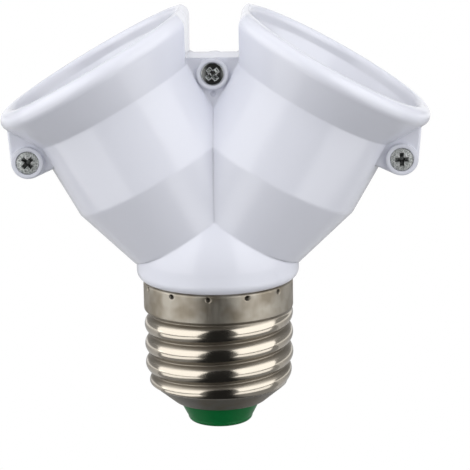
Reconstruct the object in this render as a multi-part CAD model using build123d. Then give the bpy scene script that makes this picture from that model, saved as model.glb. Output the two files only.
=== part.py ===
from build123d import *
import os
from math import atan2, cos, radians, sin, sqrt, tan

# Y-shaped lamp socket adapter: one screw base below feeds two screw sockets above.
# Millimetres, +Z up. The origin is on the base axis, where the neck meets the metal base.
# Both cup axes lie in the XZ plane, and the housing parts into a front and a rear half along it.

# Cups, measured along each cup's axis from the point where it crosses the base axis
cup_tilt = 29.6            # cup axis from the vertical, degrees
axis_cross_z = 2.0         # height where the cup axes cross the base axis
cup_start = 8.2            # lower end of the cup
cone_length = 12.2         # taper up to the barrel
cone_taper = 3.65          # growth in radius over the cone
barrel_length = 13.9
collar_length = 5.72       # flared collar above the barrel
collar_flare = 3.28        # growth in radius over the collar
lip_round = 1.8            # outer edge of the rim, runs on from the collar
mouth_round = 1.2          # inner edge of the rim
mouth_band = 2.15          # upright band inside the rim, down from its top
mouth_draft = 0.1          # loss of radius over the band
kink_round = 1.5           # blend where the cone meets the barrel
wall = 2.15

# Neck and its spigot inside the metal base
neck_proud = 1.09          # neck beyond the base's collar
neck_round = 1.6           # rounded foot, its height
neck_foot_in = 1.05        # and its depth
neck_dome_z = 3.8          # centre of the dome that closes the neck
spigot_spare = 0.4         # spigot ends this far above the foot of the base's plain collar
neck_step = 0.64           # bore of the neck inside the base shell's wall

# Web and slot between the cups
slot_half_width = 4.6
slot_foot_z = 39.3         # cut down to here, before the web closes its foot
slot_round = 2.2           # rims rounded over beside the slot
slot_trim = 0.5            # and this much lower there
web_top_z = 40.1
rear_web_drop = 1.2        # the rear half's web is this much lower
web_foot_z = 29.5
dimple_r = 0.5             # sink mark in the web under the middle screw
dimple_drop = 3.5
window_half_width = 3.0    # arched opening between the cups below the sockets
window_foot_z = 23.0

# Screws and the bosses they clamp
boss_face = 6.7            # front face of each boss, from the parting plane
ear_along = 33.45          # ear screw, along the cup axis
ear_out = 18.06            # and out from it
ear_r = 2.95
ear_round = 0.45
ear_reach = 0.25           # ear's top corner beyond the screw
ear_drop = 0.1             # and below the collar's top edge
ear_root = 1.5             # ear's root in the collar wall, below the top edge
ear_foot = 3.3             # ear's lower corner on the barrel, below the screw
middle_screw_z = 37.35
middle_boss_r = 2.9        # at the parting plane
middle_boss_draft = 1.0    # loss of radius over the rear boss
ring_r = 2.75
ring_height = 0.6
counterbore_depth = 1.15
counterbore_gap = 0.08     # round the screw head
head_r = 1.95
head_height = 1.25
head_crown = 0.25
shank_r = 1.15
shank_length = 10.5
point_length = 1.2
clearance_gap = 0.2        # round the shank in the front half
pilot_gap = 0.05           # round the shank in the rear half
pilot_spare = 0.5
cross_width = 0.75
cross_length = 2.5         # at the face of the head
cross_foot = 1.0           # at the bottom of the recess
cross_depth = 1.5
screw_turns = {"left": 45, "right": 2, "middle": 38}

# Screw thread of the base and the sockets, 27 mm lamp size
pitch = 3.629
base_crest_r = 13.2
thread_depth = 1.1
thread_play = 0.1          # socket's mouth round the base's crests
thread_relief = 0.2        # socket's thread root outside its mouth
socket_thread_depth = 0.95 # socket's ridges inside its mouth
ridge_share = 0.96         # share of the pitch that a ridge fills at its foot
ridge_bury = 0.2           # foot of a ridge inside the sheet
sheet = 0.45               # metal sheet
sheet_lift = 0.18          # keeps the sheet's thickness on a sloping stretch

# Base, downwards from the neck
collar_proud = 0.06        # plain collar beyond the crests
base_collar_length = 4.8
collar_to_root = 1.0       # length of the neck-in under the collar
thread_crest_z = -10.2     # a crest on the +X side
shoulder_z = -19.5         # edge between the thread and the cone of the tip
shoulder_length = 0.6      # its bevel
shoulder_in = 0.1
fade_length = 3.9          # stretch above the shoulder where the crests sink into the shell
fade_edge = 1.1            # they round off over this last stretch
fade_in = 0.65             # and have sunk this far there
tip_cone_length = 2.8
tip_hole_r = 8.4
stake_count = 12
stake_z = -0.95
stake_r = 0.55
stake_depth = 0.3
stake_first = -95.4        # first stake mark, degrees from +X
shell_gap = 0.05           # base shell round the spigot and the insulator

# Insulator and contact at the tip
tip_length = 4.05
tip_top_r = 7.45
tip_end_r = 5.8
tip_round = 0.9
insulator_flange = 1.9     # height of the flange inside the shell
contact_r = 2.4
contact_height = 0.35
contact_round = 0.2
contact_stem_r = 1.6
contact_stem_spare = 0.5   # stem above the insulator

# Sockets
shell_setback = 6.715      # rim of the socket shell below the lip
shell_length = 9.7
mouth_length = 2.5         # plain stretch at the rim
mouth_step = 0.3           # slope from it to the thread's root
seat_gap = 0.1
ledge_width = 0.95         # ledge under the socket shell
contact_depth = 24.915     # centre contact's tip below the lip
contact_rise = 2.3         # tip above the carrier
carrier_thick = 2.0
carrier_wall = 1.45        # carrier's edge inside the outer cone
carrier_rim = 0.6          # groove in the housing that holds the carrier
carrier_shelf = 1.7
carrier_middle_gap = 0.5   # carrier's straight edge from the middle plane
carrier_notch_depth = 3.6
notch_gap = 0.5
cup_floor = 7.0            # lowest point of the hollow in the cup

# Contact strips, rivets and the wire
strip = 0.4
strip_width = 5.0
strip_bend = 1.0
leaf_tail = 7.0            # leaf contact: its foot, its bend and its free end across the axis
leaf_bend = 1.8
leaf_tip = 0.9
leaf_nose = 3.4
leaf_drop = 1.0
rivet_across = 3.9
rivet_r = 1.0
rivet_gap = 0.05
rivet_head_r = 1.8
rivet_head = 0.8
rivet_crown = 0.5
link_reach = 1.4           # link strip ends this far from the cup axis
wire_r = 0.9
neutral_width = 2.5
neutral_foot = 3.5         # length that lies against the base shell
neutral_step = 1.5
tab_length = 3.0           # tab of the socket shell that the neutral strip lies against
channel_length = 6.0       # channel in the cup wall for the tab and the strip
channel_gap = 0.3

tilt = radians(cup_tilt)
across = Plane.XZ          # sketches of sections: radius across, height up


# Radii that follow from the thread
base_root_r = base_crest_r - thread_depth
base_collar_r = base_crest_r + collar_proud
socket_major_r = base_crest_r + thread_play
socket_minor_r = socket_major_r - socket_thread_depth
shell_out_r = socket_major_r + sheet
bore_r = shell_out_r + seat_gap
barrel_r = bore_r + wall
cup_end_r = barrel_r - cone_taper
neck_r = base_collar_r + neck_proud
neck_in = base_root_r - sheet - neck_step
spigot_r = base_collar_r - sheet - shell_gap

# Distances along a cup's axis, and the rim's rounding that runs on from the collar
cone_end = cup_start + cone_length
barrel_end = cone_end + barrel_length
collar_end = barrel_end + collar_length
collar_r = barrel_r + collar_flare
flare = atan2(collar_flare, collar_length)
rim_r = collar_r - lip_round * cos(flare)
rim_along = collar_end + lip_round * sin(flare)
lip_r = rim_r + lip_round
lip_top = rim_along + lip_round
mouth_r = rim_r - mouth_round
mouth_end = lip_top - mouth_round
shell_rim = lip_top - shell_setback
shell_foot = shell_rim - shell_length
leaf_top = lip_top - contact_depth
carrier_top = leaf_top - contact_rise
carrier_foot = carrier_top - carrier_thick
carrier_r = cup_end_r + cone_taper * (carrier_foot - cup_start) / cone_length - carrier_wall


def spin(*edges):
    return revolve(make_face(across * Curve(edges)), Axis.Z)


def lathe(*points):
    return spin(*Polyline(*points, close=True).edges())


def on_cup(shape, side):
    return Location((0, 0, axis_cross_z)) * Rotation(0, side * cup_tilt, 0) * shape


def facing(shape, side):
    turned = shape if side > 0 else mirror(shape, Plane.YZ)
    return on_cup(turned, side)


def cup_point(out, along):
    x = along * sin(tilt) + out * cos(tilt)
    z = axis_cross_z + along * cos(tilt) - out * sin(tilt)
    return (x, z)


def block(low, high):
    size = [b - a for a, b in zip(low, high)]
    return Pos(*low) * Box(*size, align=(Align.MIN, Align.MIN, Align.MIN))


def rod(radius, start_y, end_y, far_radius=None):
    length = end_y - start_y
    far = radius if far_radius is None else far_radius
    shape = Cylinder(radius, length) if far == radius else Cone(radius, far, length)
    return Pos(0, start_y + length / 2, 0) * Rotation(-90, 0, 0) * shape


def crown(radius, z, height):
    # arc of a low dome, from its edge to its top on the axis
    ball = (radius ** 2 + height ** 2) / (2 * height)
    part_way = z + height - ball + sqrt(ball ** 2 - radius ** 2 / 4)
    return ThreePointArc((radius, z), (radius / 2, part_way), (0, z + height))


def bent_strip(points, width, bends):
    line = FilletPolyline(*points, radius=bends)
    return extrude(across * trace(line, strip), width / 2, both=True)


def ridge(crest, root, start_z, turns, start_angle):
    # one rolled ridge: an arc whose foot is buried in the sheet, swept along the thread's helix
    half = pitch * ridge_share / 2
    foot = root - ridge_bury if crest > root else root + ridge_bury
    section = make_face(Curve([ThreePointArc((foot, -half), (crest, 0), (foot, half)),
                               Line((foot, half), (foot, -half))]))
    path = Helix(pitch, pitch * turns, foot)
    swept = sweep(across * section, path=path, is_frenet=True)
    return Pos(0, 0, start_z) * Rotation(0, 0, start_angle) * swept


# Screw places: name to position on the parting plane
ear_x, ear_z = cup_point(ear_out, ear_along)
screw_places = {
    "left": (-ear_x, ear_z),
    "right": (ear_x, ear_z),
    "middle": (0, middle_screw_z),
}


def at_screw(name, shape):
    x, z = screw_places[name]
    return Pos(x, 0, z) * shape


# Housing: the outer form of both cups, the neck, the ears and the web
def cup_outside():
    body = spin(
        Polyline((0, cup_start), (cup_end_r, cup_start), (barrel_r, cone_end), (barrel_r, barrel_end),
                 (collar_r, collar_end)),
        ThreePointArc((collar_r, collar_end), (lip_r, rim_along), (rim_r, lip_top)),
        TangentArc((rim_r, lip_top), (mouth_r, mouth_end), tangent=(-1, 0)),
        Polyline((mouth_r, mouth_end), (0, mouth_end), (0, cup_start)))
    kink = body.edges().filter_by(GeomType.CIRCLE).sort_by(Axis.Z)[1]
    return fillet(kink, kink_round)


def cup_hollow():
    cone_in = carrier_r - carrier_rim
    free_r = bore_r - ledge_width
    return lathe(
        (0, lip_top), (mouth_r, lip_top), (mouth_r, mouth_end), (mouth_r - mouth_draft, lip_top - mouth_band),
        (bore_r, shell_rim), (bore_r, shell_foot), (free_r, shell_foot), (free_r, cone_end),
        (cone_in, carrier_top), (carrier_r + seat_gap, carrier_top),
        (carrier_r + seat_gap, carrier_foot), (carrier_r - carrier_shelf, carrier_foot),
        (carrier_r - carrier_shelf, cup_floor), (0, cup_floor))


def neutral_channel():
    half = neutral_width / 2 + channel_gap
    deep = shell_out_r + strip + channel_gap
    return block((socket_minor_r, -half, shell_foot - channel_length), (deep, half, shell_foot))


def neck_hollow():
    roof_z = axis_cross_z + carrier_foot * cos(tilt)
    return lathe((0, -spigot_length), (neck_in, -spigot_length), (neck_in, neck_dome_z),
                 (neck_in / 2, roof_z), (0, roof_z))


def middle_window():
    # the cups' hollows run together here, under an arch that follows the barrels' meeting line
    arch_r = barrel_r - wall
    arch = Pos(0, axis_cross_z) * Ellipse(arch_r, arch_r / sin(tilt))
    opening = extrude(Plane.YZ * arch, window_half_width, both=True)
    above = block((-barrel_r, -barrel_r, window_foot_z), (barrel_r, barrel_r, web_top_z))
    return opening & above


def neck_outside():
    foot_r = neck_r - neck_foot_in
    return spin(
        Line((0, 0), (foot_r, 0)),
        TangentArc((neck_r, neck_round), (foot_r, 0), tangent=(0, -1)),
        Line((neck_r, neck_round), (neck_r, neck_dome_z)),
        ThreePointArc((neck_r, neck_dome_z),
                      (neck_r * sin(radians(45)), neck_dome_z + neck_r * cos(radians(45))),
                      (0, neck_dome_z + neck_r)),
        Line((0, neck_dome_z + neck_r), (0, 0)))


def ear():
    lug = Pos(ear_out, ear_along) * Circle(ear_r)
    inside = bore_r
    under_lip = (ear_out + ear_reach, collar_end - ear_drop)
    in_collar = (inside, collar_end - ear_root)
    foot = (inside, ear_along - ear_foot)
    outline = make_hull([lug.edge(), Line(under_lip, in_collar), Line(in_collar, foot)])
    plate = extrude(across * outline, boss_face, both=True)
    return fillet(plate.faces().sort_by(Axis.Y)[0].edges(), ear_round)


def slot():
    crest_z = axis_cross_z + rim_along * cos(tilt) + rim_r * sin(tilt) + lip_round
    over = (slot_half_width + slot_round, crest_z - slot_trim)
    shoulder = (slot_half_width, over[1] - slot_round)
    clear_z = crest_z + lip_round
    outline = make_face(Curve([
        Polyline((0, clear_z), (0, slot_foot_z), (slot_half_width, slot_foot_z), shoulder),
        TangentArc(shoulder, over, tangent=(0, 1)),
        Polyline(over, (over[0], clear_z), (0, clear_z))]))
    right = extrude(across * outline, 2 * lip_r, both=True)
    return right + mirror(right, Plane.YZ)


def web():
    half = slot_half_width + wall
    front = block((-half, -boss_face, web_foot_z), (half, 0, web_top_z))
    rear = block((-half, 0, web_foot_z), (half, boss_face, web_top_z - rear_web_drop))
    return front + rear - Pos(0, -boss_face, middle_screw_z - dimple_drop) * Sphere(dimple_r)


def housing():
    shape = neck_outside()
    for side in (-1, 1):
        shape += on_cup(cup_outside(), side)
        shape += facing(ear(), side)
    shape = shape - slot() + web()
    shape += at_screw("middle", rod(ring_r, -boss_face, 0, middle_boss_r))
    shape += at_screw("middle", rod(middle_boss_r, 0, boss_face, middle_boss_r - middle_boss_draft))
    for name in screw_places:
        shape += at_screw(name, rod(ring_r, -boss_face - ring_height, -boss_face + ring_height))
    shape += lathe((0, -spigot_length), (spigot_r, -spigot_length), (spigot_r, 0), (0, 0))
    for side in (-1, 1):
        shape -= on_cup(cup_hollow(), side)
        shape -= facing(neutral_channel(), side)
    shape -= neck_hollow()
    shape -= middle_window()
    for name in screw_places:
        front = -boss_face - ring_height
        shape -= at_screw(name, rod(head_r + counterbore_gap, front, front + counterbore_depth))
        shape -= at_screw(name, rod(shank_r + clearance_gap, front, 0))
        shape -= at_screw(name, rod(shank_r + pilot_gap, 0, seat_y + shank_length + pilot_spare))
    return shape


seat_y = -boss_face - ring_height + counterbore_depth
spigot_length = base_collar_length - spigot_spare


# Base shell: a drawn sheet with a rolled thread, staked onto the spigot
tip_z = shoulder_z - tip_cone_length
shoulder_r = base_root_r - shoulder_in
tip_slope = tip_cone_length / (shoulder_r - tip_hole_r)
sheet_rise = sheet * (1 + tip_slope ** 2) ** 0.5
root_start = base_collar_length + collar_to_root


def base_outside():
    return lathe((0, 0), (base_collar_r, 0), (base_collar_r, -base_collar_length), (base_root_r, -root_start),
                 (base_root_r, shoulder_z + shoulder_length), (shoulder_r, shoulder_z), (tip_hole_r, tip_z),
                 (0, tip_z))


def base_inside():
    collar_in = base_collar_r - sheet
    root_in = base_root_r - sheet
    hole_top = tip_z + sheet_rise
    cone_top = hole_top + (root_in - tip_hole_r) * tip_slope
    return lathe((0, 0), (collar_in, 0), (collar_in, sheet_lift - base_collar_length),
                 (root_in, sheet_lift - root_start), (root_in, cone_top), (tip_hole_r, hole_top),
                 (tip_hole_r, tip_z), (0, tip_z))


def thread_envelope():
    # trims the ridge inside the collar, and lets it run out above the shoulder
    top = -base_collar_length / 2
    outer = base_crest_r + ridge_bury
    inner = base_root_r - 2 * ridge_bury
    return lathe((0, top), (outer, top), (outer, shoulder_z + fade_length),
                 (base_crest_r - fade_in, shoulder_z + fade_edge), (inner, shoulder_z), (0, shoulder_z))


def base_shell():
    start_z = thread_crest_z - pitch * 3
    turns = -start_z / pitch
    thread = ridge(base_crest_r, base_root_r, start_z, turns, 0)
    shape = base_outside() + (thread & thread_envelope()) - base_inside()
    for i in range(stake_count):
        mark = Pos(base_collar_r + stake_r - stake_depth, 0, stake_z) * Sphere(stake_r)
        shape -= Rotation(0, 0, stake_first + i * 360 / stake_count) * mark
    return shape


# Insulator and contact in the tip of the base
def base_insulator():
    seat_r = tip_hole_r - shell_gap
    flange_z = tip_z + sheet_rise + insulator_flange
    flange_r = seat_r + (insulator_flange - shell_gap) / tip_slope
    end_z = tip_z - tip_length
    return spin(
        Polyline((contact_stem_r + shell_gap, end_z), (contact_stem_r + shell_gap, flange_z),
                 (flange_r, flange_z), (seat_r, tip_z + sheet_rise + shell_gap), (seat_r, tip_z),
                 (tip_top_r, tip_z), (tip_end_r, end_z + tip_round)),
        TangentArc((tip_end_r, end_z + tip_round), (tip_end_r - tip_round, end_z), tangent=(0, -1)),
        Line((tip_end_r - tip_round, end_z), (contact_stem_r + shell_gap, end_z)))


def base_contact():
    seat_z = tip_z - tip_length
    end_z = seat_z - contact_height
    return spin(
        Polyline((0, end_z), (0, stem_top), (contact_stem_r, stem_top), (contact_stem_r, seat_z),
                 (contact_r, seat_z), (contact_r, end_z + contact_round)),
        TangentArc((contact_r, end_z + contact_round), (contact_r - contact_round, end_z), tangent=(0, -1)),
        Line((contact_r - contact_round, end_z), (0, end_z)))


stem_top = tip_z + sheet_rise + insulator_flange + contact_stem_spare


# Socket shell: a thin tube with a plain mouth and a rolled thread inside
def shell_tube(foot):
    root_r = socket_major_r + thread_relief
    mouth_foot = shell_rim - mouth_length
    return lathe((root_r, foot), (shell_out_r, foot), (shell_out_r, shell_rim), (socket_major_r, shell_rim),
                 (socket_major_r, mouth_foot), (root_r, mouth_foot - mouth_step))


def socket_shell(side):
    # the tube and its thread reach below the foot, and all but the tab is cut away there
    tab_foot = shell_foot - tab_length
    start_z = shell_foot - pitch / 4
    end_z = shell_rim - mouth_length - mouth_step - pitch / 2
    thread = ridge(socket_minor_r, socket_major_r + thread_relief, start_z, (end_z - start_z) / pitch, 0)
    half = neutral_width / 2
    clear = 2 * shell_out_r
    below = block((-clear, -clear, tab_foot - sheet), (clear, clear, shell_foot))
    tab = block((socket_major_r, -half, tab_foot - sheet), (clear, half, shell_foot + sheet))
    trim = below - (tab if side > 0 else mirror(tab, Plane.YZ))
    return shell_tube(tab_foot) + thread - trim


# Carrier: a disc with a straight edge at the middle plane, held in a groove of the housing
def contact_carrier():
    thick = (Align.CENTER, Align.CENTER, Align.MIN)
    disc = Pos(0, 0, carrier_foot) * Cylinder(carrier_r, carrier_thick, align=thick)
    notch = block((carrier_r - carrier_notch_depth, -neutral_width / 2 - notch_gap, carrier_foot),
                  (carrier_r, neutral_width / 2 + notch_gap, carrier_top))
    hole = Pos(-rivet_across, 0, carrier_foot) * Cylinder(rivet_r + rivet_gap, carrier_thick, align=thick)
    return disc - notch - hole


def middle_trim():
    return block((-4 * carrier_r, -2 * carrier_r, -carrier_r),
                 (carrier_middle_gap, 2 * carrier_r, 4 * carrier_r))


# Leaf contact, rivet, and the link strip that joins both leaf contacts under the carriers
def centre_contact():
    low = carrier_top + strip / 2
    leaf = bent_strip([(-leaf_tail, low), (-leaf_bend, low), (leaf_tip, leaf_top - strip / 2),
                       (leaf_nose, leaf_top - strip / 2 - leaf_drop)], strip_width, strip_bend)
    hole = Pos(-rivet_across, 0, low) * Cylinder(rivet_r + rivet_gap, 2 * strip)
    return leaf - hole


def contact_rivet():
    top = carrier_top + strip
    foot = carrier_foot - strip
    edge = top + rivet_head - rivet_crown
    body = spin(
        Polyline((0, foot - rivet_head / 2), (rivet_head_r, foot - rivet_head / 2), (rivet_head_r, foot),
                 (rivet_r, foot), (rivet_r, top), (rivet_head_r, top), (rivet_head_r, edge)),
        crown(rivet_head_r, edge, rivet_crown),
        Line((0, top + rivet_head), (0, foot - rivet_head / 2)))
    return Pos(-rivet_across, 0, 0) * body


link_along = carrier_foot - strip / 2
link_top_z = axis_cross_z + link_along / cos(tilt)


def live_link():
    end_x, end_z = cup_point(-link_reach, link_along)
    link = bent_strip([(-end_x, end_z), (0, link_top_z), (end_x, end_z)], strip_width, strip_bend)
    for side in (-1, 1):
        hole = Pos(-rivet_across, 0, link_along) * Cylinder(rivet_r + rivet_gap, 2 * strip)
        link -= facing(hole, side)
    return link


def live_wire():
    top = link_top_z - strip / 2 / cos(tilt) - wire_r * tan(tilt)
    align = (Align.CENTER, Align.CENTER, Align.MIN)
    return Pos(0, 0, stem_top) * Cylinder(wire_r, top - stem_top, align=align)


# Neutral strip: from the foot of a socket shell, past the carrier, to the inside of the base shell
def neutral_strip():
    on_tab = shell_out_r + strip / 2
    notch_out = carrier_r - carrier_notch_depth + notch_gap + strip / 2
    neck_out = neck_in - seat_gap - strip / 2
    base_out = sqrt((base_root_r - sheet) ** 2 - neutral_width ** 2 / 4) - strip / 2
    points = [
        cup_point(on_tab, shell_foot - seat_gap),
        cup_point(on_tab, shell_foot - tab_length),
        cup_point(notch_out, carrier_top + neutral_step),
        cup_point(notch_out, carrier_foot - strip),
        (neck_out, neck_dome_z + neutral_step),
        (neck_out, -root_start),
        (base_out, -root_start - neutral_step),
        (base_out, -root_start - neutral_step - neutral_foot),
    ]
    return bent_strip(points, neutral_width, strip)


# Pan head screw with a cross recess, pointing to +Y
def housing_screw(turn):
    head_edge = head_height - head_crown
    body = spin(
        Polyline((0, -shank_length), (shank_r, point_length - shank_length), (shank_r, 0), (head_r, 0),
                 (head_r, head_edge)),
        crown(head_r, head_edge, head_crown),
        Line((0, head_height), (0, -shank_length)))
    recess = make_face(Polyline((-cross_length / 2, 0), (cross_length / 2, 0), (cross_foot / 2, -cross_depth),
                                (-cross_foot / 2, -cross_depth), close=True))
    arm = extrude(across * recess, cross_width / 2, both=True)
    for angle in (turn, turn + 90):
        body -= Pos(0, 0, head_height) * Rotation(0, 0, angle) * arm
    return Pos(0, seat_y, 0) * Rotation(90, 0, 0) * body


def build():
    sides = {"left": -1, "right": 1}
    whole = housing()
    nodes = {
        "front_housing": split(whole, Plane.XZ, keep=Keep.TOP),
        "rear_housing": split(whole, Plane.XZ, keep=Keep.BOTTOM),
        "base_shell": base_shell(),
        "base_insulator": base_insulator(),
        "base_contact": base_contact(),
        "live_link": live_link(),
        "live_wire": live_wire(),
        "contact_rivets": Compound([facing(contact_rivet(), side) for side in sides.values()]),
        "housing_screws": Compound([at_screw(n, housing_screw(screw_turns[n])) for n in screw_places]),
    }
    for name, side in sides.items():
        nodes["socket_shell_" + name] = on_cup(socket_shell(side), side)
        carrier = on_cup(contact_carrier(), 1) - middle_trim()
        nodes["contact_carrier_" + name] = carrier if side > 0 else mirror(carrier, Plane.YZ)
        nodes["centre_contact_" + name] = facing(centre_contact(), side)
        strip_solid = neutral_strip()
        nodes["neutral_strip_" + name] = strip_solid if side > 0 else mirror(strip_solid, Plane.YZ)
    return nodes


os.makedirs("parts", exist_ok=True)
for node, shape in build().items():
    export_step(shape, "parts/" + node + ".step")
    print(node, round(shape.volume, 1), "mm3")
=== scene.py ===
import math

import bpy
from mathutils import Matrix, Vector


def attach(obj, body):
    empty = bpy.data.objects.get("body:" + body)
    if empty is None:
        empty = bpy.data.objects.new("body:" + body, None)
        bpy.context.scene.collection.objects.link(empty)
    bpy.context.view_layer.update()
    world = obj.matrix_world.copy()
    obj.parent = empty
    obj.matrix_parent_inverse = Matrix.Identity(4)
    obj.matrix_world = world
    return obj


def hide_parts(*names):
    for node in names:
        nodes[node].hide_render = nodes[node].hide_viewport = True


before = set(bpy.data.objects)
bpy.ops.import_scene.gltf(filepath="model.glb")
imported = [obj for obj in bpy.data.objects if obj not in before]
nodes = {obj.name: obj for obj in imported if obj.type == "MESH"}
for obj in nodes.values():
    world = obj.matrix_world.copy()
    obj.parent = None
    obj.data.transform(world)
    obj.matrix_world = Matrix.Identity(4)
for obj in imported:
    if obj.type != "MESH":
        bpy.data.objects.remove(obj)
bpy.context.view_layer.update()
mm = 0.001
noiseSpan = (0.3, 0.7)                       # most values of a noise texture lie between these
edgeRays, recessRays = 6, 8                  # samples of the soft edges and of the screws' recesses
print("frame:", len(nodes), "nodes")


def linear(hexColour):                       # sRGB hex to the linear colour that shaders take
    channels = [int(hexColour[i:i + 2], 16) / 255 for i in (1, 3, 5)]
    return [c / 12.92 if c <= 0.04045 else ((c + 0.055) / 1.055) ** 2.4 for c in channels] + [1.0]


def perMetre(sizeMm):                        # texture scale that draws a pattern at its size in millimetres
    return 1 / (sizeMm * mm)


def span(side, ends):                        # the two inputs on the "From" or the "To" side of a Map Range
    return {side + " Min": ends[0], side + " Max": ends[1]}


def addNode(tree, kind, inputs=None, **settings):
    node = tree.nodes.new(kind)
    for name, value in settings.items():
        setattr(node, name, value)
    for key, value in (inputs or {}).items():
        if isinstance(value, bpy.types.NodeSocket):
            tree.links.new(value, node.inputs[key])
        else:
            node.inputs[key].default_value = value
    return node


def setRamp(ramp, stops):                    # stops: place from 0 to 1, linear colour
    for element, (spot, colour) in zip(ramp.elements, (stops[0], stops[-1])):
        element.position, element.color = spot, colour
    for spot, colour in stops[1:-1]:
        ramp.elements.new(spot).color = colour


def newMaterial(name):
    material = bpy.data.materials.new(name)
    material.use_nodes = True
    material.node_tree.nodes.clear()
    return material, material.node_tree


def finishMaterial(tree, shader):
    addNode(tree, "ShaderNodeOutputMaterial", {"Surface": shader.outputs[0]})


def addObject(name, data):
    piece = bpy.data.objects.new(name, data)
    bpy.context.scene.collection.objects.link(piece)
    return piece


# White ABS, moulded in a polished tool: an even, cool white with a soft gloss and very faint flow marks
whiteAbs = {
    "colour": "#e3e5ef", "flowColour": "#e0e2ec", "roughness": (0.15, 0.19), "ior": 1.54,
    "flowMm": 11.0,                          # length of the flow marks
    "skinMm": 0.9, "skinDeepMm": 0.0012,     # moulded skin, coarser than the real 0.1 mm so that it shows
    "edgeMm": 0.5,                           # the mould's soft edges
}


def makeWhiteAbs(name, look):
    material, tree = newMaterial(name)
    place = addNode(tree, "ShaderNodeTexCoord").outputs["Object"]
    flow = addNode(tree, "ShaderNodeTexNoise", {
        "Vector": place, "Scale": perMetre(look["flowMm"]), "Detail": 3.0}).outputs["Fac"]
    skin = addNode(tree, "ShaderNodeTexNoise", {
        "Vector": place, "Scale": perMetre(look["skinMm"]), "Detail": 2.0}).outputs["Fac"]
    tone = addNode(tree, "ShaderNodeMix", {
        "Factor": flow, "A": linear(look["colour"]), "B": linear(look["flowColour"])}, data_type="RGBA")
    gloss = addNode(tree, "ShaderNodeMapRange", {
        "Value": flow, **span("From", noiseSpan), **span("To", look["roughness"])})
    edge = addNode(tree, "ShaderNodeBevel", {"Radius": look["edgeMm"] * mm}, samples=edgeRays)
    bump = addNode(tree, "ShaderNodeBump", {
        "Height": skin, "Normal": edge.outputs["Normal"], "Strength": 1.0,
        "Distance": look["skinDeepMm"] * mm})
    shader = addNode(tree, "ShaderNodeBsdfPrincipled", {
        "Base Color": tone.outputs["Result"], "Roughness": gloss.outputs["Result"], "IOR": look["ior"],
        "Normal": bump.outputs["Normal"]})
    finishMaterial(tree, shader)
    return material


# Nickel plate on drawn and rolled steel sheet: a warm grey mirror on the ridges, duller in the grooves,
# satin with brownish clouds on the plain collar, dull grey on the cone of the tip
nickelSheet = {
    "burnished": (0.1, 0.18), "satin": (0.36, 0.48),     # roughness, least and most
    "streakMm": (0.1, 3.0),                  # drawing marks, across and along the base's axis
    "streakSpan": (0.35, 0.65), "streakDeepMm": 0.002, "streakBump": 0.6,
    "cloudMm": 4.0,
    "stainSpan": (0.4, 0.65), "stain": 0.75, "stainColour": "#7f7565",   # clouds, and the most they cover
    "grooveColour": "#8f887d",               # where the rollers left the plate dull
    "pitShadeColour": "#2b2723",                  # painted shade in the punched pits
    "lowestMm": -24.0,                       # foot of the bands below
}
coneColour, ridgeColour, collarColour = "#88847d", "#c3bbae", "#aca69b"
baseBands = [                                # height in millimetres, share of satin, colour
    (-24.0, 1.0, coneColour), (-19.3, 1.0, coneColour), (-18.9, 0.0, ridgeColour),
    (-5.9, 0.0, ridgeColour), (-5.3, 1.0, collarColour), (0.0, 1.0, collarColour),
]
socketBands = [(-24.0, 0.2, ridgeColour), (0.0, 0.2, ridgeColour)]     # the same all over


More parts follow.
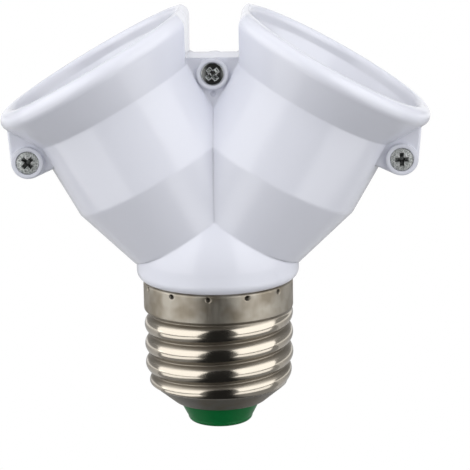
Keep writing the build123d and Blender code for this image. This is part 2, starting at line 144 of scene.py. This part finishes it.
def makeNickel(name, look, bands):
    material, tree = newMaterial(name)
    place = addNode(tree, "ShaderNodeTexCoord").outputs["Object"]
    across, lengthwise = [perMetre(size) for size in look["streakMm"]]
    stretched = addNode(tree, "ShaderNodeMapping", {"Vector": place, "Scale": (across, across, lengthwise)})
    streaks = addNode(tree, "ShaderNodeTexNoise", {
        "Vector": stretched.outputs["Vector"], "Scale": 1.0, "Detail": 3.0}).outputs["Fac"]
    clouds = addNode(tree, "ShaderNodeTexNoise", {
        "Vector": place, "Scale": perMetre(look["cloudMm"]), "Detail": 2.0}).outputs["Fac"]

    spot = addNode(tree, "ShaderNodeSeparateXYZ", {"Vector": place})
    lowest = look["lowestMm"]
    height = addNode(tree, "ShaderNodeMapRange", {
        "Value": spot.outputs["Z"], **span("From", (lowest * mm, 0.0))}).outputs["Result"]
    satin = addNode(tree, "ShaderNodeValToRGB", {"Fac": height})
    setRamp(satin.color_ramp, [(1 - z / lowest, (share, share, share, 1)) for z, share, colour in bands])
    plate = addNode(tree, "ShaderNodeValToRGB", {"Fac": height})
    setRamp(plate.color_ramp, [(1 - z / lowest, linear(colour)) for z, share, colour in bands])

    cloudy = addNode(tree, "ShaderNodeMapRange", {
        "Value": clouds, **span("From", look["stainSpan"]), "To Max": look["stain"]})
    stain = addNode(tree, "ShaderNodeMath", {
        0: satin.outputs["Color"], 1: cloudy.outputs["Result"]}, operation="MULTIPLY").outputs[0]
    groove = addNode(tree, "ShaderNodeAttribute", attribute_name="groove").outputs["Fac"]
    pit = addNode(tree, "ShaderNodeAttribute", attribute_name="pit").outputs["Fac"]
    tone = plate.outputs["Color"]
    # the pit mark is painted shade, darkening the bottoms of the stake marks
    for share, colour in ((stain, "stainColour"), (groove, "grooveColour"), (pit, "pitShadeColour")):
        tone = addNode(tree, "ShaderNodeMix", {
            "Factor": share, "A": tone, "B": linear(look[colour])}, data_type="RGBA").outputs["Result"]

    mirror = addNode(tree, "ShaderNodeMapRange", {
        "Value": clouds, **span("From", noiseSpan), **span("To", look["burnished"])})
    brushed = addNode(tree, "ShaderNodeMapRange", {
        "Value": streaks, **span("From", look["streakSpan"]), **span("To", look["satin"])})
    dull = addNode(tree, "ShaderNodeMath", {0: satin.outputs["Color"], 1: groove}, operation="MAXIMUM")
    rough = addNode(tree, "ShaderNodeMix", {
        "Factor": dull.outputs[0], "A": mirror.outputs["Result"], "B": brushed.outputs["Result"]})
    bump = addNode(tree, "ShaderNodeBump", {
        "Height": streaks, "Strength": look["streakBump"], "Distance": look["streakDeepMm"] * mm})
    shader = addNode(tree, "ShaderNodeBsdfPrincipled", {
        "Base Color": tone, "Metallic": 1.0, "Roughness": rough.outputs["Result"],
        "Normal": bump.outputs["Normal"]})
    finishMaterial(tree, shader)
    return material


# Green urea moulding of the tip: even colour, soft sheen, fine moulded grain
greenUrea = {
    "colour": "#0f6a35", "grainColour": "#0d5f2f", "roughness": 0.35, "ior": 1.55, "specular": 0.15,
    "grainMm": 0.5, "grainDeepMm": 0.004, "grainBump": 0.5,
}
# White phenolic of the contact carriers, pressed from powder: matt and a little speckled
pressedPhenolic = {
    "colour": "#d8d6cf", "grainColour": "#c9c6bd", "roughness": 0.55, "ior": 1.6, "specular": 0.5,
    "grainMm": 0.4, "grainDeepMm": 0.004, "grainBump": 0.5,
}
# PVC sleeve of the wire, extruded: smooth and slightly waxy
wirePvc = {
    "colour": "#6b3a24", "grainColour": "#5f321e", "roughness": 0.42, "ior": 1.53, "specular": 0.5,
    "grainMm": 0.8, "grainDeepMm": 0.004, "grainBump": 0.5,
}


def makeMoulding(name, look):
    material, tree = newMaterial(name)
    place = addNode(tree, "ShaderNodeTexCoord").outputs["Object"]
    grain = addNode(tree, "ShaderNodeTexNoise", {
        "Vector": place, "Scale": perMetre(look["grainMm"]), "Detail": 3.0}).outputs["Fac"]
    tone = addNode(tree, "ShaderNodeMix", {
        "Factor": grain, "A": linear(look["colour"]), "B": linear(look["grainColour"])}, data_type="RGBA")
    bump = addNode(tree, "ShaderNodeBump", {
        "Height": grain, "Strength": look["grainBump"], "Distance": look["grainDeepMm"] * mm})
    shader = addNode(tree, "ShaderNodeBsdfPrincipled", {
        "Base Color": tone.outputs["Result"], "Roughness": look["roughness"], "IOR": look["ior"],
        "Specular IOR Level": look["specular"], "Normal": bump.outputs["Normal"]})
    finishMaterial(tree, shader)
    return material


# Zinc plate on cold headed screws: the middle one mirror bright, the ears' dull and grainy, with painted shade
# darkening their cross recesses
zincPlate = {
    "colour": "#e2e4e3", "grainColour": "#8d928f", "recessShadeColour": "#0d100e",
    "bright": 0.09, "dull": (0.35, 0.55), "dullMetal": 0.5,
    "grainMm": 0.3, "grainSpan": (0.35, 0.65), "grainDeepMm": 0.02, "grainBump": 0.6,
    "edgeMm": 0.2,
    "middleMm": (8.0, 16.0),                 # distance from the middle at which bright goes over to dull
    "recessMm": 0.7, "recessSpan": (0.85, 0.55),    # reach of the painted recess shade, and the openness over which it goes from none to full
}


def makeZinc(name, look):
    material, tree = newMaterial(name)
    place = addNode(tree, "ShaderNodeTexCoord").outputs["Object"]
    grain = addNode(tree, "ShaderNodeTexNoise", {
        "Vector": place, "Scale": perMetre(look["grainMm"]), "Detail": 2.0}).outputs["Fac"]
    spot = addNode(tree, "ShaderNodeSeparateXYZ", {"Vector": place})
    aside = addNode(tree, "ShaderNodeMath", {0: spot.outputs["X"]}, operation="ABSOLUTE")
    ear = addNode(tree, "ShaderNodeMapRange", {
        "Value": aside.outputs[0], **span("From", [x * mm for x in look["middleMm"]])}).outputs["Result"]

    speck = addNode(tree, "ShaderNodeMapRange", {"Value": grain, **span("From", look["grainSpan"])})
    worn = addNode(tree, "ShaderNodeMath", {
        0: ear, 1: speck.outputs["Result"]}, operation="MULTIPLY").outputs[0]
    # painted shade: where ambient occlusion finds the ears' surface closed in, as in the cross, the colour goes
    # dark
    openness = addNode(tree, "ShaderNodeAmbientOcclusion", {"Distance": look["recessMm"] * mm},
                       samples=recessRays, only_local=True)
    deep = addNode(tree, "ShaderNodeMapRange", {
        "Value": openness.outputs["AO"], **span("From", look["recessSpan"])})
    recessShade = addNode(tree, "ShaderNodeMath", {
        0: ear, 1: deep.outputs["Result"]}, operation="MULTIPLY").outputs[0]
    tone = linear(look["colour"])
    for share, colour in ((worn, "grainColour"), (recessShade, "recessShadeColour")):
        tone = addNode(tree, "ShaderNodeMix", {
            "Factor": share, "A": tone, "B": linear(look[colour])}, data_type="RGBA").outputs["Result"]

    matt = addNode(tree, "ShaderNodeMapRange", {
        "Value": grain, **span("From", noiseSpan), **span("To", look["dull"])})
    rough = addNode(tree, "ShaderNodeMix", {
        "Factor": ear, "A": look["bright"], "B": matt.outputs["Result"]})
    metal = addNode(tree, "ShaderNodeMapRange", {"Value": ear, **span("To", (1.0, look["dullMetal"]))})
    edge = addNode(tree, "ShaderNodeBevel", {"Radius": look["edgeMm"] * mm}, samples=edgeRays)
    bump = addNode(tree, "ShaderNodeBump", {
        "Height": worn, "Normal": edge.outputs["Normal"], "Strength": look["grainBump"],
        "Distance": look["grainDeepMm"] * mm})
    shader = addNode(tree, "ShaderNodeBsdfPrincipled", {
        "Base Color": tone, "Metallic": metal.outputs["Result"], "Roughness": rough.outputs["Result"],
        "Normal": bump.outputs["Normal"]})
    finishMaterial(tree, shader)
    return material


# Brass strip, stamped: yellow with soft clouds of tarnish
stampedBrass = {
    "colour": "#c8a45a", "cloudColour": "#b08d48", "roughness": (0.25, 0.4),
    "cloudMm": 1.2, "cloudDeepMm": 0.006, "cloudBump": 0.4,
}


def makeBrass(name, look):
    material, tree = newMaterial(name)
    place = addNode(tree, "ShaderNodeTexCoord").outputs["Object"]
    cloud = addNode(tree, "ShaderNodeTexNoise", {
        "Vector": place, "Scale": perMetre(look["cloudMm"]), "Detail": 4.0}).outputs["Fac"]
    tone = addNode(tree, "ShaderNodeMix", {
        "Factor": cloud, "A": linear(look["colour"]), "B": linear(look["cloudColour"])}, data_type="RGBA")
    rough = addNode(tree, "ShaderNodeMapRange", {
        "Value": cloud, **span("From", noiseSpan), **span("To", look["roughness"])})
    bump = addNode(tree, "ShaderNodeBump", {
        "Height": cloud, "Strength": look["cloudBump"], "Distance": look["cloudDeepMm"] * mm})
    shader = addNode(tree, "ShaderNodeBsdfPrincipled", {
        "Base Color": tone.outputs["Result"], "Metallic": 1.0, "Roughness": rough.outputs["Result"],
        "Normal": bump.outputs["Normal"]})
    finishMaterial(tree, shader)
    return material


housing = makeWhiteAbs("whiteMouldedAbs", whiteAbs)
baseNickel = makeNickel("nickelPlatedBase", nickelSheet, baseBands)
socketNickel = makeNickel("nickelPlatedSocket", nickelSheet, socketBands)
zinc = makeZinc("zincPlatedSteel", zincPlate)
brass = makeBrass("stampedBrass", stampedBrass)
green = makeMoulding("greenMouldedUrea", greenUrea)
sleeve = makeMoulding("brownPvcSleeve", wirePvc)
carrier = makeMoulding("whitePressedPhenolic", pressedPhenolic)
finishes = {
    "front_housing": housing, "rear_housing": housing, "housing_screws": zinc,
    "base_shell": baseNickel, "base_insulator": green, "base_contact": brass,
    "live_link": brass, "live_wire": sleeve, "contact_rivets": brass,
}
for side in ("left", "right"):
    finishes["socket_shell_" + side] = socketNickel
    finishes["contact_carrier_" + side] = carrier
    finishes["centre_contact_" + side] = brass
    finishes["neutral_strip_" + side] = brass
for name, material in finishes.items():
    nodes[name].data.materials.clear()
    nodes[name].data.materials.append(material)
print("materials:", len(bpy.data.materials))


# Base shell, in millimetres: collar with a turned-in top edge and punched stake marks, rolled thread, cone
baseShell = {
    "sheet": 0.45,
    "collarR": 13.26, "collarEnd": -5.1, "neckIn": 0.9,       # the collar draws in to the thread below its end
    "edgeIn": 0.4, "edgeMm": 0.3,                             # top edge, turned in under the plastic
    "stakes": 12, "stakeFirst": -95.4, "stakeZ": -0.95,       # the first one's angle in degrees
    "stakeMm": 0.39, "stakeDeep": 0.45,
    "crestR": 13.2, "rootR": 12.1, "pitch": 3.629, "crestZ": -10.2,
    "crestArc": 1.92, "rootArc": 0.1265,                      # radii of the ridges' and the valleys' rounding
    "grooveMm": 0.95, "grooveFade": 0.4,                      # half width of the dull groove, its soft edge
    "taper": [(-15.0, 0.0), (-15.8, 0.06), (-16.6, 0.18), (-17.4, 0.34), (-19.4, 0.74)],   # height, drop
    "cone": [(-18.7, 12.7), (-22.3, 8.4)], "coneBlend": 0.6,  # height, radius
    "sectorColumns": 24, "pitColumns": 11, "pitWide": 0.17,   # mesh columns from stake to stake, and at its pit
    "rows": [(0.0, 0.09), (-2.0, 0.3), (-4.8, 0.14)],         # height, and how far apart the rows below it lie
}


def smoothStep(value):
    t = min(max(value, 0.0), 1.0)
    return t * t * (3 - 2 * t)


def valueAt(points, z):                      # value at a height, from points listed from the top down
    if z >= points[0][0]:
        return points[0][1]
    for (z0, v0), (z1, v1) in zip(points, points[1:]):
        if z >= z1:
            return v0 + (v1 - v0) * (z0 - z) / (z0 - z1)
    return points[-1][1]


def fromCrest(spec, turn, z):                # distance along the axis from the nearest crest
    phase = (z - spec["crestZ"]) / spec["pitch"] - turn
    return abs(phase - round(phase)) * spec["pitch"]


def grooveShare(spec, turn, z):              # 1 at the bottom of a groove
    if not spec["cone"][0][0] < z < spec["collarEnd"]:
        return 0.0
    fromBottom = spec["pitch"] / 2 - fromCrest(spec, turn, z)
    return smoothStep((spec["grooveMm"] - fromBottom) / spec["grooveFade"])


def pitShare(spec, turn, z):                 # 1 at the bottom of a stake mark, with steep walls
    sector = (turn - spec["stakeFirst"] / 360) * spec["stakes"]
    arc = (sector - round(sector)) / spec["stakes"] * 2 * math.pi * spec["collarR"]
    gap = math.hypot(arc, z - spec["stakeZ"]) / spec["stakeMm"]
    return math.exp(-gap ** 4)


def threadRadius(spec, turn, z):             # wide round ridges with narrow round valleys
    x = fromCrest(spec, turn, z)
    half = spec["pitch"] / 2
    crestArc, rootArc = spec["crestArc"], spec["rootArc"]
    if x < half * crestArc / (crestArc + rootArc):
        return spec["crestR"] - crestArc + math.sqrt(crestArc ** 2 - x ** 2)
    return spec["rootR"] + rootArc - math.sqrt(rootArc ** 2 - (half - x) ** 2)


def shellRadius(spec, turn, z):
    coneTop = spec["cone"][0][0]
    below = threadRadius(spec, turn, z) - valueAt(spec["taper"], z)    # the thread runs out into the cone
    below += (valueAt(spec["cone"], z) - below) * smoothStep((coneTop - z) / spec["coneBlend"])
    drawnIn = smoothStep((spec["collarEnd"] - z) / spec["neckIn"])
    radius = spec["collarR"] + (below - spec["collarR"]) * drawnIn
    radius -= spec["edgeIn"] * math.exp(-(z / spec["edgeMm"]) ** 2)
    return radius - spec["stakeDeep"] * pitShare(spec, turn, z)


def shellTurns(spec):                        # each column's place round the axis, in turns
    pit, rest = spec["pitColumns"], spec["sectorColumns"] - spec["pitColumns"]
    wide, stakes = spec["pitWide"], spec["stakes"]
    sector = [wide * (i / pit - 0.5) for i in range(pit)]
    sector += [wide / 2 + (1 - wide) * i / rest for i in range(rest)]
    return [spec["stakeFirst"] / 360 + (k + place) / stakes for k in range(stakes) for place in sector]


def shellHeights(spec):                      # each row's height, from the top down
    heights = []
    ends = [top for top, step in spec["rows"][1:]] + [spec["cone"][-1][0]]
    for (top, step), end in zip(spec["rows"], ends):
        count = round((top - end) / step)
        heights += [top + (end - top) * i / count for i in range(count)]
    return heights + [ends[-1]]


def makeBaseShell(spec):
    turns, heights = shellTurns(spec), shellHeights(spec)
    columns = len(turns)
    points, grooves, pits, faces = [], [], [], []
    for z in heights:
        for turn in turns:
            radius, angle = shellRadius(spec, turn, z) * mm, turn * 2 * math.pi
            points.append((radius * math.cos(angle), radius * math.sin(angle), z * mm))
            grooves.append(grooveShare(spec, turn, z))
            pits.append(pitShare(spec, turn, z))
    for row in range(len(heights) - 1):
        upper, lower = row * columns, (row + 1) * columns
        for column in range(columns):
            after = (column + 1) % columns
            faces.append((upper + column, lower + column, lower + after, upper + after))
    mesh = bpy.data.meshes.new("rolledBaseShell")
    mesh.from_pydata(points, [], faces)
    mesh.polygons.foreach_set("use_smooth", [True] * len(faces))
    for mark, shares in (("groove", grooves), ("pit", pits)):         # the nickel's look reads these
        mesh.attributes.new(mark, "FLOAT", "POINT").data.foreach_set("value", shares)
    mesh.materials.append(baseNickel)
    piece = addObject("rolledBaseShell", mesh)
    thick = piece.modifiers.new("sheet", "SOLIDIFY")
    thick.thickness = spec["sheet"] * mm
    thick.offset = -1                        # inwards
    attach(piece, "root")
    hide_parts("base_shell")


makeBaseShell(baseShell)
print("base shell made")


# Stage, in metres: a pale table below and behind the hanging adapter. Beyond a small patch the camera sees
# it white, and metal sees it go over into the white backdrop further back.
floor = {
    "colour": "#d6d6d6", "height": -0.16, "half": 6.0, "edge": 0.12,     # the edge is the table's front
    "middle": 0.2, "patch": (0.01, 0.06), "backdrop": (0.5, 1.0),         # distances from the patch's middle
}


def makeFloor(spec):
    half, height, edge = spec["half"], spec["height"], spec["edge"]
    corners = [(-half, edge, height), (half, edge, height), (half, half, height), (-half, half, height)]
    mesh = bpy.data.meshes.new("floor")
    mesh.from_pydata(corners, [], [(0, 1, 2, 3)])
    material, tree = newMaterial("paleFloor")
    mesh.materials.append(material)
    place = addNode(tree, "ShaderNodeTexCoord")
    flat = addNode(tree, "ShaderNodeMapping", {
        "Vector": place.outputs["Object"], "Scale": (1, 1, 0), "Location": (0, -spec["middle"], 0)})
    away = addNode(tree, "ShaderNodeVectorMath", {0: flat.outputs["Vector"]}, operation="LENGTH")
    path = addNode(tree, "ShaderNodeLightPath")
    mirrored = addNode(tree, "ShaderNodeMath", {
        0: path.outputs["Is Glossy Ray"], 1: path.outputs["Is Transmission Ray"]}, operation="MAXIMUM")
    shares = []
    for ray, reach in ((path.outputs["Is Camera Ray"], "patch"), (mirrored.outputs[0], "backdrop")):
        beyond = addNode(tree, "ShaderNodeMapRange", {
            "Value": away.outputs["Value"], **span("From", spec[reach])})
        share = addNode(tree, "ShaderNodeMath", {0: ray, 1: beyond.outputs["Result"]}, operation="MULTIPLY")
        shares.append(share.outputs[0])
    white = addNode(tree, "ShaderNodeMath", {0: shares[0], 1: shares[1]}, operation="MAXIMUM")
    pale = addNode(tree, "ShaderNodeBsdfDiffuse", {"Color": linear(spec["colour"])})
    glow = addNode(tree, "ShaderNodeEmission", {"Color": (1, 1, 1, 1), "Strength": 1.0})
    finishMaterial(tree, addNode(tree, "ShaderNodeMixShader", {
        0: white.outputs[0], 1: pale.outputs[0], 2: glow.outputs[0]}))
    piece = addObject("floor", mesh)


makeFloor(floor)


# Lights: azimuth from the camera side (positive to the right) and elevation in degrees, the rest in metres
softboxes = {
    "left": {"azimuth": -68, "elevation": 19, "distance": 0.75, "size": (1.25, 0.9), "radiance": 1.5},
    "right": {"azimuth": 62, "elevation": 19, "distance": 0.75, "size": (1.02, 0.9), "radiance": 1.55},
    "frontTop": {"azimuth": 0, "elevation": 66, "distance": 0.8, "size": (1.0, 0.4), "radiance": 2.3,
                 "mirrored": False},         # not seen in glossy surfaces: the thread's middle stays dark
    "top": {"azimuth": 180, "elevation": 80, "distance": 0.8, "size": (0.8, 0.4), "radiance": 0.6},
    "lowLeft": {"azimuth": -66, "elevation": -30, "distance": 0.75, "size": (0.95, 0.28), "radiance": 1.25},
    "lowRight": {"azimuth": 62, "elevation": -30, "distance": 0.75, "size": (0.85, 0.28), "radiance": 1.25},
}
# Room: light from the dark camera side, the sides, behind and the white backdrop. The From values are the
# sideways or backward share of a direction over which it grows.
room = {
    "front": 0.02, "sides": 0.34, "behind": 0.27, "backdrop": 1.0,
    "sidesFrom": (0.3, 0.5), "behindFrom": (0.0, 0.5), "backdropFrom": (0.8, 0.95),
}


def fromCamera(azimuth, elevation, distance):
    a, e = math.radians(azimuth), math.radians(elevation)
    return Vector((math.sin(a) * math.cos(e), -math.cos(a) * math.cos(e), math.sin(e))) * distance


def makeSoftbox(name, spec):
    lamp = bpy.data.lights.new(name, "AREA")
    lamp.shape = "RECTANGLE"
    lamp.size, lamp.size_y = spec["size"]
    lamp.energy = spec["radiance"] * math.pi * lamp.size * lamp.size_y    # power that gives this radiance
    piece = addObject(name, lamp)
    piece.location = fromCamera(spec["azimuth"], spec["elevation"], spec["distance"])
    piece.rotation_euler = (-piece.location).to_track_quat("-Z", "Y").to_euler()
    piece.visible_glossy = spec.get("mirrored", True)


def makeRoom(spec):
    world = bpy.data.worlds.new("studio")
    bpy.context.scene.world = world
    world.use_nodes = True
    tree = world.node_tree
    tree.nodes.clear()
    towards = addNode(tree, "ShaderNodeTexCoord")
    heading = addNode(tree, "ShaderNodeSeparateXYZ", {"Vector": towards.outputs["Generated"]})
    sideways = addNode(tree, "ShaderNodeMath", {0: heading.outputs["X"]}, operation="ABSOLUTE").outputs[0]
    backwards = heading.outputs["Y"]
    walls = [
        (sideways, spec["sidesFrom"], (spec["front"], spec["sides"])),
        (backwards, spec["behindFrom"], (0.0, spec["behind"])),
        (backwards, spec["backdropFrom"], (0.0, spec["backdrop"])),
    ]
    strength = addNode(tree, "ShaderNodeLightPath").outputs["Is Camera Ray"]    # the camera sees plain white
    for way, reach, ends in walls:
        wall = addNode(tree, "ShaderNodeMapRange", {"Value": way, **span("From", reach), **span("To", ends)})
        strength = addNode(tree, "ShaderNodeMath", {
            0: strength, 1: wall.outputs["Result"]}, operation="MAXIMUM").outputs[0]
    sky = addNode(tree, "ShaderNodeBackground", {"Color": (1, 1, 1, 1), "Strength": strength})
    addNode(tree, "ShaderNodeOutputWorld", {"Surface": sky.outputs[0]})


for name, spec in softboxes.items():
    makeSoftbox(name + "Softbox", spec)
makeRoom(room)
print("stage and lights made")


# Camera: matched to the photograph, whose frame is 470 pixels wide
view = {
    "distance": 0.400, "elevation": 14.44, "azimuth": 2.52, "roll": -1.08,
    "focalPixels": 2255.46, "framePixels": 470, "sensorMm": 36.0,
    "aimRight": 3.006, "aimUp": 7.239,       # millimetres from the origin to the middle of the picture
}


def makeCamera(spec):
    camera = bpy.data.cameras.new("photoCamera")
    camera.sensor_width = spec["sensorMm"]
    camera.lens = spec["focalPixels"] / spec["framePixels"] * spec["sensorMm"]
    camera.clip_start = 10 * mm
    piece = addObject("photoCamera", camera)
    place = fromCamera(spec["azimuth"], spec["elevation"], spec["distance"])
    level = (-place).to_track_quat("-Z", "Y").to_matrix()
    rolled = level @ Matrix.Rotation(math.radians(spec["roll"]), 3, "Z")
    aim = Vector((spec["aimRight"] * mm, spec["aimUp"] * mm, -spec["distance"]))
    turned = rolled @ Vector((0, 0, -1)).rotation_difference(aim).to_matrix()
    piece.matrix_world = Matrix.Translation(place) @ turned.to_4x4()
    bpy.context.scene.camera = piece


makeCamera(view)
bpy.context.scene.view_settings.view_transform = "Standard"
print("camera set")
